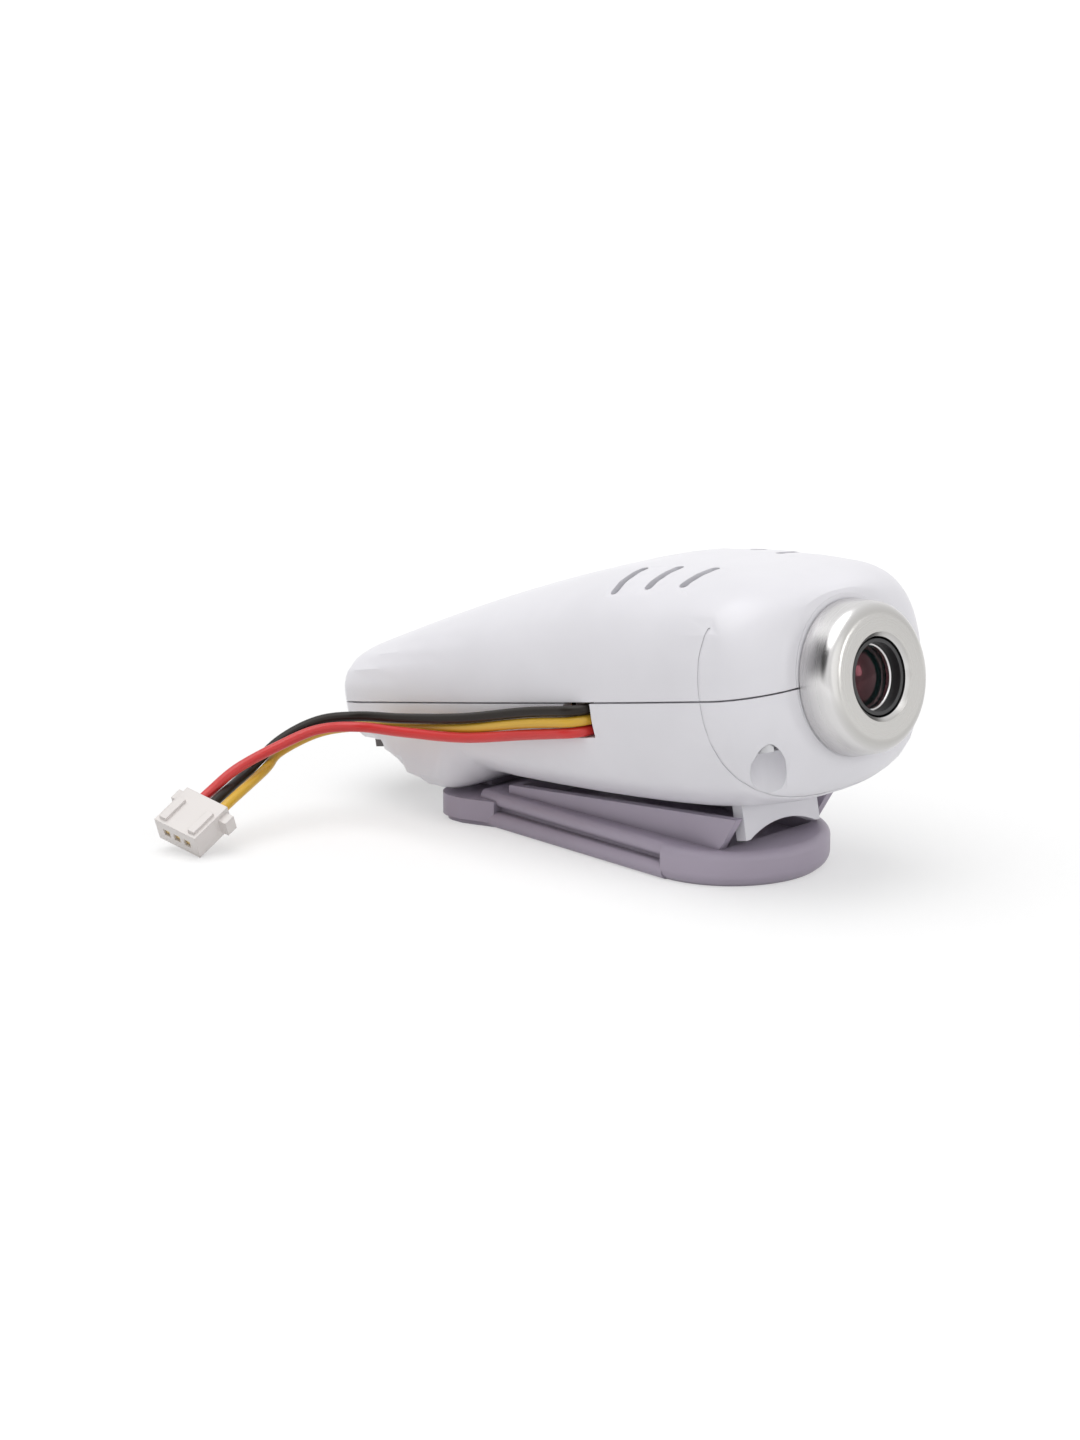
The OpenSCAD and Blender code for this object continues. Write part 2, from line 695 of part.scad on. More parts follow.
// Lens holder: a square flange on the sensor board and a round neck for the barrel
module lens_holder() color("black") {
    chamber = 4;
    filter_lip = 0.7;
    lap = 0.5;
    in_pod() difference() {
        union() {
            block([holder_x, -holder_sq / 2, lens_z - holder_sq / 2],
                [holder_x + holder_flange, holder_sq / 2, lens_z + holder_sq / 2]);
            axis_rod(barrel_d / 2 + holder_wall, holder_x + holder_flange - lap, holder_front);
        }
        block([holder_x - 1, -chamber, lens_z - chamber], [filter_x, chamber, lens_z + chamber]);
        axis_rod(filter_r + pin_gap, filter_x - 1, filter_x + filter_t);
        axis_rod(filter_r - filter_lip, filter_x, barrel_back);
        axis_rod(barrel_d / 2 + pin_gap, barrel_back, holder_front + 1);
    }
}

module sensor_board() color("darkgreen") {
    reach = 7;
    in_pod() block([board_x, -reach, lens_z - reach], [board_x + board_t, reach, lens_z + reach]);
}

module image_sensor() color("gray") {
    reach = 3;
    in_pod() block([holder_x, -reach, lens_z - reach], [holder_x + sensor_t, reach, lens_z + reach]);
}

// Flat ribbon from the sensor board's back to the main board's top
module sensor_ribbon() color("peru") {
    ribbon_t = 0.3;
    reach = 2.6;
    climb = 4.5;
    foot = 4;
    top = main_z + board_t;
    in_pod() {
        block([board_x - ribbon_t, -reach, top], [board_x, reach, top + climb]);
        block([board_x - foot, -reach, top], [board_x, reach, top + ribbon_t]);
    }
}

// Main board on its four posts
module main_board() color("darkgreen") {
    in_pod() difference() {
        block([main_x, -main_w, main_z], [main_end, main_w, main_z + board_t]);
        for (s = [-1, 1])
            translate([board_screw_x(s), s * post_y, main_z - 1])
                cylinder(r = screw_r + pin_gap, h = board_t + 2, $fn = 24);
    }
}

// A chip on the main board, by its middle and its size
module chip(x, y, size) {
    top = main_z + board_t;
    in_pod() block([x - size.x / 2, y - size.y / 2, top], [x + size.x / 2, y + size.y / 2, top + size.z]);
}

module processor_chip() color("dimgray") {
    chip(on_board(0.58), 0, cpu_size);
}

module memory_chip() color("dimgray") {
    chip(on_board(0.28), 0.25 * main_w, memory_size);
}

module crystal() color("silver") {
    chip(on_board(0.76), 0.44 * main_w, crystal_size);
}

module board_capacitors() color("tan") {
    for (k = [0 : 3])
        chip(on_board(0.47 + 0.08 * k), -0.66 * main_w, capacitor_size);
}

// Metal card socket under the main board, open at the tail
module card_socket() color("silver") {
    behind = 0.4;
    reach = card_w / 2 + socket_gap + socket_wall;
    front = card_x + card_l + behind + socket_wall;
    low = card_z - socket_gap - socket_wall;
    in_pod() difference() {
        block([socket_back, -reach, low], [front, reach, main_z]);
        block([socket_back - 1, -card_w / 2 - socket_gap, low + socket_wall],
            [front - socket_wall, card_w / 2 + socket_gap, main_z - socket_wall]);
    }
}

// Memory card, with a thumb ridge under its end in the mouth
module memory_card() color("darkslategray") {
    notch = 0.7;
    notch_from = 6;
    notch_to = 2;
    ridge = 0.5;
    ridge_l = 2.6;
    front = card_x + card_l;
    in_pod() difference() {
        union() {
            block([card_x, -card_w / 2, card_z], [front, card_w / 2, card_z + card_t]);
            block([card_x, -card_w / 2, card_z - ridge], [card_x + ridge_l, card_w / 2, card_z + card_t]);
        }
        block([front - notch_from, card_w / 2 - notch, card_z - 1],
            [front - notch_to, card_w / 2 + 1, card_z + card_t + 1]);
    }
}

// Block at the board's edge that the three wires are soldered into
module wire_block() color("ivory") {
    back = notch_x - notch_l - block_lap;
    front = notch_x + block_lap;
    foot = 2;
    lap = 0.1;
    in_pod() {
        block([back, -block_y, wire_top - 2 * wire_pitch - 0.7 * wire_d], [front, -main_w - lap, block_top]);
        block([back, -main_w - 2 * lap, main_z + board_t], [front, -main_w + foot, block_top]);
    }
}

// Short run of one wire, counted from the top, from the block out to the notch
module wire_stub(k) {
    in_pod() translate([wire_x - wire_lean * k, -block_y, wire_top - wire_pitch * k])
        rotate([90, 0, 0]) cylinder(d = wire_d, h = stub_l, $fn = 24);
}

module stub_black() color("black") {
    wire_stub(0);
}

module stub_yellow() color("gold") {
    wire_stub(1);
}

module stub_red() color("firebrick") {
    wire_stub(2);
}

// Screw with its head downwards in a well
module shell_screw(s) {
    slot = 0.15;
    slot_d = 0.4;
    low = well_top - head_h;
    in_pod() translate([screw_x, s * screw_y, low]) {
        difference() {
            cylinder(r = head_r, h = head_h, $fn = 32);
            block([-head_r, -slot, -1], [head_r, slot, slot_d]);
            block([-slot, -head_r, -1], [slot, head_r, slot_d]);
        }
        translate([0, 0, head_h / 2]) cylinder(r = screw_r, h = screw_top - low - head_h / 2, $fn = 24);
    }
}

module shell_screw_left() color("silver") {
    shell_screw(1);
}

module shell_screw_right() color("silver") {
    shell_screw(-1);
}

// Screw that holds the main board on one of its posts
module board_screw(s) {
    cap = 0.8;
    shank = board_t + pilot_l - 1;
    in_pod() translate([board_screw_x(s), s * post_y, main_z + board_t]) {
        cylinder(r = head_r, h = cap, $fn = 32);
        translate([0, 0, -shank]) cylinder(r = screw_r, h = shank, $fn = 24);
    }
}

module board_screw_left() color("silver") {
    board_screw(1);
}

module board_screw_right() color("silver") {
    board_screw(-1);
}

// A point of the pod's frame and a point of the plug's frame, on the shoe's frame
function pod_point(x, y, z) = hinge_at + [(x - hinge_x) * cos(pitch) - (z - hinge_z) * sin(pitch), y,
    (x - hinge_x) * sin(pitch) + (z - hinge_z) * cos(pitch)];
plug_across = [cos(plug_turn) * cos(plug_roll), sin(plug_turn) * cos(plug_roll), -sin(plug_roll)];
plug_back = [cos(plug_turn) * sin(plug_roll) * sin(plug_dip) - sin(plug_turn) * cos(plug_dip),
    sin(plug_turn) * sin(plug_roll) * sin(plug_dip) + cos(plug_turn) * cos(plug_dip),
    cos(plug_roll) * sin(plug_dip)];
plug_up = cross(plug_across, plug_back);
function plug_point(x, y, z) = plug_at + x * plug_across + y * plug_back + z * plug_up;

// Route of one wire: its place in the notch, its run and its way in the plug
function lead(place, run, way) = concat(
    [pod_point(wire_x - wire_lean * place, -pod_w - wire_out, wire_top - wire_pitch * place)],
    [for (p = run) [p.x, p.y - pod_w, p.z]],
    [for (y = [plug_before, -plug_inside]) plug_point(way * plug_pitch, y, plug_wire_z)]);

// Smooth run through a route's points
function route_point(r, k, t) = let (
        a = r[max(0, k - 1)], b = r[k], c = r[k + 1], d = r[min(len(r) - 1, k + 2)])
    0.5 * (2 * b + (c - a) * t + (2 * a - 5 * b + 4 * c - d) * t * t
        + (3 * b - a - 3 * c + d) * t * t * t);
function smooth_route(r) = concat([for (k = [0 : len(r) - 2]) for (i = [0 : wire_steps - 1])
    route_point(r, k, i / wire_steps)], [r[len(r) - 1]]);
function unit(v) = v / norm(v);

// Tube of one wire along its route
module wire(route) {
    path = smooth_route(route);
    rings = len(path);
    n = wire_sides;
    points = [for (i = [0 : rings - 1]) let (
            ahead = unit(path[min(rings - 1, i + 1)] - path[max(0, i - 1)]),
            side = unit(cross(ahead, [0, 0, 1])),
            up = cross(side, ahead))
        for (j = [0 : n - 1]) let (a = 360 * j / n)
            path[i] + wire_d / 2 * (cos(a) * side + sin(a) * up)];
    skin = [for (i = [0 : rings - 2]) for (j = [0 : n - 1]) let (k = (j + 1) % n)
        each tri([i * n + j, i * n + k, (i + 1) * n + k, (i + 1) * n + j])];
    ends = [[for (j = [n - 1 : -1 : 0]) j], [for (j = [0 : n - 1]) (rings - 1) * n + j]];
    polyhedron(points, flip(concat(skin, ends), true));
}

module wire_black() color("black") {
    wire(lead(0, black_run, 0));
}

module wire_yellow() color("gold") {
    wire(lead(1, yellow_run, 1));
}

module wire_red() color("firebrick") {
    wire(lead(2, red_run, -1));
}

// Places its children in the plug's frame: origin under its wire end, mating end towards -y
module in_plug() {
    translate(plug_at) rotate([plug_dip, plug_roll, plug_turn]) children();
}

// Plug housing with an ear on each side and two ribs along its top
module plug_housing() color("white") {
    ear = 0.9;
    ear_y = [-1.5, -0.3];
    ear_z = [0.5, plug_t - 0.5];
    rib = 0.4;
    rib_h = 0.3;
    rib_x = plug_half - 2 * rib;
    way = 0.8;
    way_end = plug_hole_l + 0.4;
    in_plug() difference() {
        union() {
            block([-plug_half, -plug_l, 0], [plug_half, 0, plug_t]);
            block([-plug_half - ear, ear_y[0], ear_z[0]], [plug_half + ear, ear_y[1], ear_z[1]]);
            for (s = [-1, 1])
                block([s * rib_x - rib, -plug_l + rib, plug_t - rib],
                    [s * rib_x + rib, ear_y[0], plug_t + rib_h]);
        }
        block([-plug_pitch - plug_hole, -plug_hole_l, plug_wire_z - plug_hole],
            [plug_pitch + plug_hole, 1, plug_wire_z + plug_hole]);
        for (k = [-1 : 1])
            block([k * plug_pitch - way / 2, -plug_l - 1, plug_wire_z - way / 2],
                [k * plug_pitch + way / 2, -way_end, plug_wire_z + way / 2]);
    }
}

// Contacts in the plug's three ways
module plug_contacts() color("gold") {
    reach = 0.35;
    sink = 0.2;
    in_plug()
        for (k = [-1 : 1])
            block([k * plug_pitch - reach, sink - plug_l, plug_wire_z - reach],
                [k * plug_pitch + reach, -plug_hole_l - 0.4, plug_wire_z + reach]);
}

base_shoe();
hinge_pin();
lower_shell();
upper_shell();
lens_ring();
lens_barrel();
lens_retainer();
lens_front_glass();
lens_rear_glass();
ir_filter();
lens_holder();
sensor_board();
image_sensor();
sensor_ribbon();
main_board();
processor_chip();
memory_chip();
crystal();
board_capacitors();
card_socket();
memory_card();
wire_block();
stub_black();
stub_yellow();
stub_red();
shell_screw_left();
shell_screw_right();
board_screw_left();
board_screw_right();
wire_black();
wire_yellow();
wire_red();
plug_housing();
plug_contacts();
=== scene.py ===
# %% [markdown]
# # A tilting camera mount
# A white camera pod sits nose-up on a slide-in shoe. Its solids, joints and sizes come from the
# imported frame, and this lesson gives them their looks: smooth moulded shells, a turned silver ring,
# a coated lens and three insulated wires. Lengths are in metres, in the frame's own axes: +X forward,
# +Y left and +Z up.

# %% The frame
import json
import math

import bmesh
import bpy
import numpy as np
from mathutils import Matrix, Vector


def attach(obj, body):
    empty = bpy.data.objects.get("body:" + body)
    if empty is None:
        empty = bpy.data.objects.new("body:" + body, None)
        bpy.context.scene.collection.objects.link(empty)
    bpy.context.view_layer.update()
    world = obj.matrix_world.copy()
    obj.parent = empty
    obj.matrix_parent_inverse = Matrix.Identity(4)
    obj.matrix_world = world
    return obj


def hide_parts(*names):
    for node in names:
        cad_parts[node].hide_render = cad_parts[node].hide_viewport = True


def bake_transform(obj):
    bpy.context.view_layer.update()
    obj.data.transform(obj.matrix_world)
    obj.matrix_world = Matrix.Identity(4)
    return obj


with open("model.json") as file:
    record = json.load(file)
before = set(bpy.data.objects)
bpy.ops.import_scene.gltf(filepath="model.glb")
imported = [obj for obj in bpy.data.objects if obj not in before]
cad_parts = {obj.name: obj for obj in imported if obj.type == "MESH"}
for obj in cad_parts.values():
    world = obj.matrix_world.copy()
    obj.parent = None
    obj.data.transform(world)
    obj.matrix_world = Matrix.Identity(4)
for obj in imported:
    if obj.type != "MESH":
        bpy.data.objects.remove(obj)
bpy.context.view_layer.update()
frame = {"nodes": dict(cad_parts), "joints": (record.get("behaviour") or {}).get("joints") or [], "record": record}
nodes = frame["nodes"]
MM = 0.001
scene = bpy.context.scene
scene.view_settings.view_transform = "Standard"

# %% [markdown]
# ## The camera
# The photograph was taken from the right front, a little above the object, with a long lens. The
# camera is placed on a sphere round a point near the middle of the pod, and its lens follows from
# the size of the object in the photograph's frame.

# %% Camera
look_at = Vector((-12.975, -1.588, 9.532)) * MM
camera_turn = math.radians(45.7)
camera_rise = math.radians(15)
camera_far = 410 * MM
camera_near = 10 * MM
focal_pixels = 4200
frame_pixels = 1440
towards_camera = Vector((
    math.cos(camera_turn) * math.cos(camera_rise),
    -math.sin(camera_turn) * math.cos(camera_rise),
    math.sin(camera_rise)))
camera = bpy.data.objects.new("camera", bpy.data.cameras.new("camera"))
scene.collection.objects.link(camera)
camera.data.lens = camera.data.sensor_width * focal_pixels / frame_pixels
camera.data.clip_start = camera_near
camera.location = look_at + camera_far * towards_camera
camera.rotation_mode = "QUATERNION"
camera.rotation_quaternion = towards_camera.to_track_quat("Z", "Y")
scene.camera = camera
print("lens, mm:", round(camera.data.lens, 1))

# %% [markdown]
# ## The pod's own frame
# The pod is drawn level and then pitched nose-up, so its notch and ring are easiest to place in its
# own frame: x from the tail, z from the seam. The hinge of the frame gives the point that both
# frames share, and the card's slide gives the pod's axis.

# %% Places on the pod
joints = {j["name"]: j for j in frame["joints"]}
hinge_at = Vector(joints["tilt"]["pos_m"])
hinge_on_pod = Vector((13.3, 0, -7.3)) * MM
pod_ahead = -Vector(joints["card_slide"]["axis"])
pod_up = pod_ahead.cross(Vector((0, 1, 0)))
pod_pitch = math.atan2(pod_ahead.z, pod_ahead.x)
pod_length = 60 * MM
pod_side = 13.7 * MM
lens_height = -0.3 * MM


def on_pod(x, y, z):
    """A point of the pod's own frame, in the frame's axes."""
    ahead = (x - hinge_on_pod.x) * pod_ahead
    up = (z - hinge_on_pod.z) * pod_up
    return hinge_at + ahead + Vector((0, y, 0)) + up


ring_centre = on_pod(pod_length, 0, lens_height)
print("ring seat, mm:", [round(x / MM, 2) for x in ring_centre])

# %% [markdown]
# ## The three wires
# The lead leaves the notch in the right side, turns back along the pod and drops to its plug, which
# the wires hold up at an angle. After a turn of two wire widths out of the notch, each route keeps
# within a quarter of a millimetre of the solids' own, so that the wires touch as real ones do. A
# small Geometry Nodes tree sweeps a round section along the route. The result is a plain mesh.

# %% Routes of the wires
wire_thick = 1.0 * MM
steps_each = 8
# The notch, in the pod's own frame: where the first wire starts, and how the next ones follow
notch_x = 38.8 * MM
notch_inside = 2.3 * MM
wire_top = -0.6 * MM
wire_pitch = 1.05 * MM
wire_lean = 0.3 * MM
wire_out = 0.5 * MM
bend_radius = 2 * wire_thick
bend_steps = 6
# The plug: its turn, its place, and where a wire goes into it
plug_yaw, plug_roll, plug_dip = math.radians(7), math.radians(12), math.radians(29)
plug_turn = Matrix.Rotation(plug_yaw, 3, "Z")
plug_turn @= Matrix.Rotation(plug_roll, 3, "Y") @ Matrix.Rotation(plug_dip, 3, "X")
plug_at = Vector((-28.1, -30.9, 2.847)) * MM
plug_pitch = 1.3 * MM
plug_middle = 1.3 * MM
plug_before = 1.4 * MM
plug_inside = 0.8 * MM
# The way of the plug each wire goes to, and its points in millimetres, with y out from the pod's side
runs = {
    "black": (0, [(-2.9, -0.5, 14.57), (-10.9, -0.5, 12.52), (-19, -0.5, 10.98), (-24.9, -1.1, 10.2),
                  (-27.5, -4, 9.8), (-28.8, -7.9, 8.3), (-29.3, -11.8, 5.7)]),
    "yellow": (1, [(-2.9, -0.5, 13.5), (-11.2, -0.2, 11.4), (-19.9, 0.4, 9.8), (-25.7, -0.3, 8.9),
                   (-28.4, -3.1, 8.3), (-29.6, -7.1, 6.9), (-28.5, -10.1, 5.9)]),
    "red": (-1, [(-2.8, -0.6, 12.42), (-10.5, -0.9, 10.75), (-18.2, -1.3, 9.9), (-23.9, -2, 9.5),
                 (-26.2, -5.2, 9.4), (-27.5, -9.1, 8.3), (-28.3, -13.8, 6.8)]),
}


def smooth_run(points, steps):
    """A curve through all the points, evenly stepped between each pair."""
    run = []
    for k in range(len(points) - 1):
        a, b = points[max(0, k - 1)], points[k]
        c, d = points[k + 1], points[min(len(points) - 1, k + 2)]
        for i in range(steps):
            t = i / steps
            run.append(0.5 * (2 * b + (c - a) * t + (2 * a - 5 * b + 4 * c - d) * t * t
                              + (3 * b - a - 3 * c + d) * t ** 3))
    return run + [points[-1]]


def wire_path(place, way, run):
    """The whole line of one wire: straight out of its block, round a bend and along its route."""
    x = notch_x - wire_lean * place
    z = wire_top - wire_pitch * place
    path = [on_pod(x, notch_inside - pod_side, z)]
    for k in range(bend_steps):
        a = math.pi / 2 * k / bend_steps
        path.append(on_pod(x - bend_radius * (1 - math.cos(a)),
                           bend_radius * (1 - math.sin(a)) - pod_side - wire_out, z))
    corners = [on_pod(x - bend_radius, -pod_side - wire_out, z)]
    corners += [Vector((p[0] * MM, p[1] * MM - pod_side, p[2] * MM)) for p in run]
    corners += [plug_at + plug_turn @ Vector((way * plug_pitch, y, plug_middle))
                for y in (plug_before, -plug_inside)]
    return path + smooth_run(corners, steps_each)


def run_length(path):
    return sum((b - a).length for a, b in zip(path, path[1:]))


paths = {colour: wire_path(k, *runs[colour]) for k, colour in enumerate(runs)}
print("wire lengths, mm:", {c: round(run_length(p) / MM, 1) for c, p in paths.items()})

# %% Node helpers
SHAPE, NUMBER, COUNT = "NodeSocketGeometry", "NodeSocketFloat", "NodeSocketInt"
VECTOR, COLOUR, FINISH = "NodeSocketVector", "NodeSocketColor", "NodeSocketMaterial"


def add(tree, kind, values=None, **settings):
    """A node with its settings and inputs; an input may be a value or another node's output."""
    made = tree.nodes.new(kind)
    for key, value in settings.items():
        setattr(made, key, value)
    for key, value in (values or {}).items():
        if isinstance(value, bpy.types.NodeSocket):
            tree.links.new(value, made.inputs[key])
        else:
            made.inputs[key].default_value = value
    return made


def new_group(name, kind, inputs, outputs):
    """An empty node group with its named sockets, as (tree, its inputs, its output node)."""
    tree = bpy.data.node_groups.new(name, kind)
    for label, socket, value in inputs:
        made = tree.interface.new_socket(label, in_out="INPUT", socket_type=socket)
        if value is not None:
            made.default_value = value
    for label, socket in outputs:
        tree.interface.new_socket(label, in_out="OUTPUT", socket_type=socket)
    return tree, tree.nodes.new("NodeGroupInput").outputs, tree.nodes.new("NodeGroupOutput")


def end_tree(tree, out, shape, finish):
    """The end that all the shape trees share: real geometry with its finish on it."""
    real = add(tree, "GeometryNodeRealizeInstances", {"Geometry": shape}).outputs[0]
    done = add(tree, "GeometryNodeSetMaterial", {"Geometry": real, "Material": finish}).outputs[0]
    tree.links.new(done, out.inputs["Geometry"])
    return tree


# %% Piece helpers
def new_piece(name, mesh):
    piece = bpy.data.objects.new(name, mesh)
    scene.collection.objects.link(piece)
    return piece


def grown(name, seed, tree, values):
    """What a Geometry Nodes tree makes of a seed mesh, as a plain piece."""
    maker = new_piece(f"{name}_seed", seed)
    modifier = maker.modifiers.new("grow", "NODES")
    modifier.node_group = tree
    labels = {item.name: item.identifier for item in tree.interface.items_tree
              if item.in_out == "INPUT"}
    for label, value in values.items():
        modifier[labels[label]] = value
    depsgraph = bpy.context.evaluated_depsgraph_get()
    mesh = bpy.data.meshes.new_from_object(maker.evaluated_get(depsgraph), depsgraph=depsgraph)
    maker.modifiers.remove(modifier)
    bpy.data.objects.remove(maker)
    mesh.name = name
    return new_piece(name, mesh)


# %% Wire sweep
wire_sides = 20


def build_sweep():
    """A tree that sweeps a round section along a line of edges."""
    tree, given, out = new_group("wire_sweep", "GeometryNodeTree", [
        ("Geometry", SHAPE, None), ("Radius", NUMBER, wire_thick / 2),
        ("Sides", COUNT, wire_sides), ("Finish", FINISH, None)], [("Geometry", SHAPE)])
    line = add(tree, "GeometryNodeMeshToCurve", {"Mesh": given["Geometry"]}).outputs[0]
    section = add(tree, "GeometryNodeCurvePrimitiveCircle",
                  {"Resolution": given["Sides"], "Radius": given["Radius"]}).outputs[0]
    swept = add(tree, "GeometryNodeCurveToMesh",
                {"Curve": line, "Profile Curve": section, "Fill Caps": True}).outputs[0]
    return end_tree(tree, out, swept, given["Finish"])


sweep = build_sweep()

# %% Wire tubes
cap_turn = math.radians(60)
wires = {}
for colour, path in paths.items():
    finish = bpy.data.materials.get(f"wire_{colour}")
    line = bpy.data.meshes.new(f"line_{colour}")
    line.from_pydata(path, [(k, k + 1) for k in range(len(path) - 1)], [])
    wire = grown(f"lead_{colour}", line, sweep,
                 {"Radius": wire_thick / 2, "Sides": wire_sides, "Finish": finish})
    wire.data.shade_smooth()
    wire.data.set_sharp_from_angle(angle=cap_turn)
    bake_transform(wire)
    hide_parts(f"wire_{colour}", f"stub_{colour}")
    wires[colour] = wire
print("wires:", {w.name: len(w.data.polygons) for w in wires.values()})

# %% [markdown]
# ## Legs of the chips
# The two large chips on the board stand on rows of tinned legs. A row repeats one small foot, so it
# is a job for instances: a seed point for each leg, a turn that is kept with the point, and one box.
# The row is laid out level in the pod's own frame and then pitched with the pod.

# %% Leg rows
board_top = -2.7 * MM
leg_size = Vector((0.65, 0.3, 0.14)) * MM
leg_off = 0.02 * MM
legs_each = 8
# Middle and size of each chip in the pod's frame, in millimetres, with the legs' pitch and sides
chips = {"processor": ((27.97, 0), (7, 7), 0.8, (0, 90, 180, 270)),
         "memory": ((17.02, 2.05), (8, 6), 0.9, (90, 270))}


def build_rows():
    """A tree that sets one box on each seed point, turned by its own angle, and pitches them all."""
    tree, given, out = new_group("leg_rows", "GeometryNodeTree", [
        ("Geometry", SHAPE, None), ("Leg", VECTOR, tuple(leg_size)), ("Place", VECTOR, (0, 0, 0)),
        ("Pitch", VECTOR, (0, 0, 0)), ("Finish", FINISH, None)], [("Geometry", SHAPE)])
    turn = add(tree, "GeometryNodeInputNamedAttribute", {"Name": "turn"}, data_type="FLOAT").outputs[0]
    spin = add(tree, "ShaderNodeCombineXYZ", {"Z": turn}).outputs[0]
    leg = add(tree, "GeometryNodeMeshCube", {"Size": given["Leg"]}).outputs[0]
    seeds = add(tree, "GeometryNodeMeshToPoints", {"Mesh": given["Geometry"]}).outputs[0]
    rows = add(tree, "GeometryNodeInstanceOnPoints",
               {"Points": seeds, "Instance": leg, "Rotation": spin}).outputs[0]
    pitched = add(tree, "GeometryNodeTransform", {"Geometry": rows, "Translation": given["Place"],
                                                  "Rotation": given["Pitch"]}).outputs[0]
    return end_tree(tree, out, pitched, given["Finish"])


def leg_seeds(name, middle, size, pitch, sides):
    """A mesh of loose points, one for each leg, with the leg's turn kept on it."""
    points, turns = [], []
    for side in sides:
        angle = math.radians(side)
        reach = (size[0] if side % 180 == 0 else size[1]) / 2 * MM + leg_off + leg_size.x / 2
        for k in range(legs_each):
            across = (k - (legs_each - 1) / 2) * pitch * MM
            points.append((middle[0] * MM + reach * math.cos(angle) - across * math.sin(angle),
                           middle[1] * MM + reach * math.sin(angle) + across * math.cos(angle),
                           board_top + leg_off + leg_size.z / 2))
            turns.append(angle)
    mesh = bpy.data.meshes.new(f"{name}_seeds")
    mesh.from_pydata(points, [], [])
    mesh.attributes.new("turn", "FLOAT", "POINT").data.foreach_set("value", turns)
    return mesh


rows_tree = build_rows()
for chip, layout in chips.items():
    legs = grown(f"{chip}_legs", leg_seeds(chip, *layout), rows_tree,
                 {"Leg": leg_size, "Place": on_pod(0, 0, 0), "Pitch": (0, -pod_pitch, 0),
                  "Finish": bpy.data.materials.get("steel")})
    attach(legs, "pod")
    print(legs.name, len(legs.data.polygons), "faces")

# %% [markdown]
# ## The turned rings
# The bright ring round the lens and the small ring that holds its front glass are turned on a lathe:
# one outline, carried round an axis. The tree below does just that, so the outline, the bore and the
# number of steps stay open to change. The outline is closed, runs from the bore outwards and has true
# rounds, because a rounded edge is what catches the light on turned metal.

# %% Turned rings
round_steps = 12
ring_steps = 128
crisp_turn = math.radians(24)


def build_turned():
    """A tree that carries a closed outline round a bore and lays the ring on the lens axis."""
    tree, given, out = new_group("turned_ring", "GeometryNodeTree", [
        ("Geometry", SHAPE, None), ("Bore", NUMBER, 3 * MM), ("Steps", COUNT, ring_steps),
        ("Place", VECTOR, (0, 0, 0)), ("Pitch", VECTOR, (0, 0, 0)), ("Finish", FINISH, None)],
        [("Geometry", SHAPE)])
    outline = add(tree, "GeometryNodeMeshToCurve", {"Mesh": given["Geometry"]}).outputs[0]
    circle = add(tree, "GeometryNodeCurvePrimitiveCircle",
                 {"Resolution": given["Steps"], "Radius": given["Bore"]}).outputs[0]
    turned = add(tree, "GeometryNodeCurveToMesh",
                 {"Curve": circle, "Profile Curve": outline}).outputs[0]
    placed = add(tree, "GeometryNodeTransform", {"Geometry": turned, "Translation": given["Place"],
                                                 "Rotation": given["Pitch"]}).outputs[0]
    return end_tree(tree, out, placed, given["Finish"])


def round_edge(radius, height, size, start, end):
    """Points of a round in an outline, about its own centre, between two angles in degrees."""
    angles = [math.radians(start + (end - start) * k / round_steps) for k in range(round_steps + 1)]
    return [(radius + size * math.cos(a), height + size * math.sin(a)) for a in angles]


turned_tree = build_turned()
# Outlines in millimetres: radius, and height over the ring's seat on the pod
outlines = {
    "lens_ring": [(3.7, -1.2), (3.7, 3.3), (4.1, 3.7), *round_edge(5.6, 2.3, 1.4, 90, 0), (7.25, 0.15),
                  (6.85, 0.15), (6.85, 0), (5.85, 0), (5.85, -1.2)],
    "lens_retainer": [(2.85, 1.7), *round_edge(3.05, 2, 0.2, 180, 90), (3.1, 2.2), (3.1, 1.7)],
}
for node, outline in outlines.items():
    bore = outline[0][0]
    seed = bpy.data.meshes.new(f"{node}_outline")
    seed.from_pydata([((r - bore) * MM, -h * MM, 0) for r, h in outline],
                     [(k, (k + 1) % len(outline)) for k in range(len(outline))], [])
    ring = grown(f"{node}_turned", seed, turned_tree,
                 {"Bore": bore * MM, "Steps": ring_steps, "Place": ring_centre,
                  "Pitch": (0, math.pi / 2 - pod_pitch, 0),
                  "Finish": bpy.data.materials.get("ring_silver")})
    ring.data.shade_smooth()
    ring.data.set_sharp_from_angle(angle=crisp_turn)
    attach(ring, "pod")
    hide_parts(node)
    print(ring.name, len(ring.data.polygons), "faces")

# %% [markdown]
# ## Smooth shells and lens
# The moulded shells and the domed front glass come from the solids as flat facets. A real moulding
# has none, so a copy of the mesh gets two things. Its normals are weighted by area, so that large
# faces stay calm and small ones take the turn. Then each triangle is split in four, and each new
# point is lifted to where the normals at both ends say that the curve runs. A crisp edge is left
# crisp, and bends only along itself.

# %% Smooth normals
weld_gap = 0.002 * MM


def welded(node):
    """A copy of a node's mesh with its loose triangles joined."""
    mesh = nodes[node].data.copy()
    bm = bmesh.new()
    bm.from_mesh(mesh)
    bmesh.ops.remove_doubles(bm, verts=bm.verts, dist=weld_gap)
    bmesh.ops.dissolve_degenerate(bm, edges=bm.edges, dist=weld_gap)
    bmesh.ops.triangulate(bm, faces=bm.faces)
    bm.to_mesh(mesh)
    bm.free()
    if "custom_normal" in mesh.attributes:
        mesh.attributes.remove(mesh.attributes["custom_normal"])
    return mesh


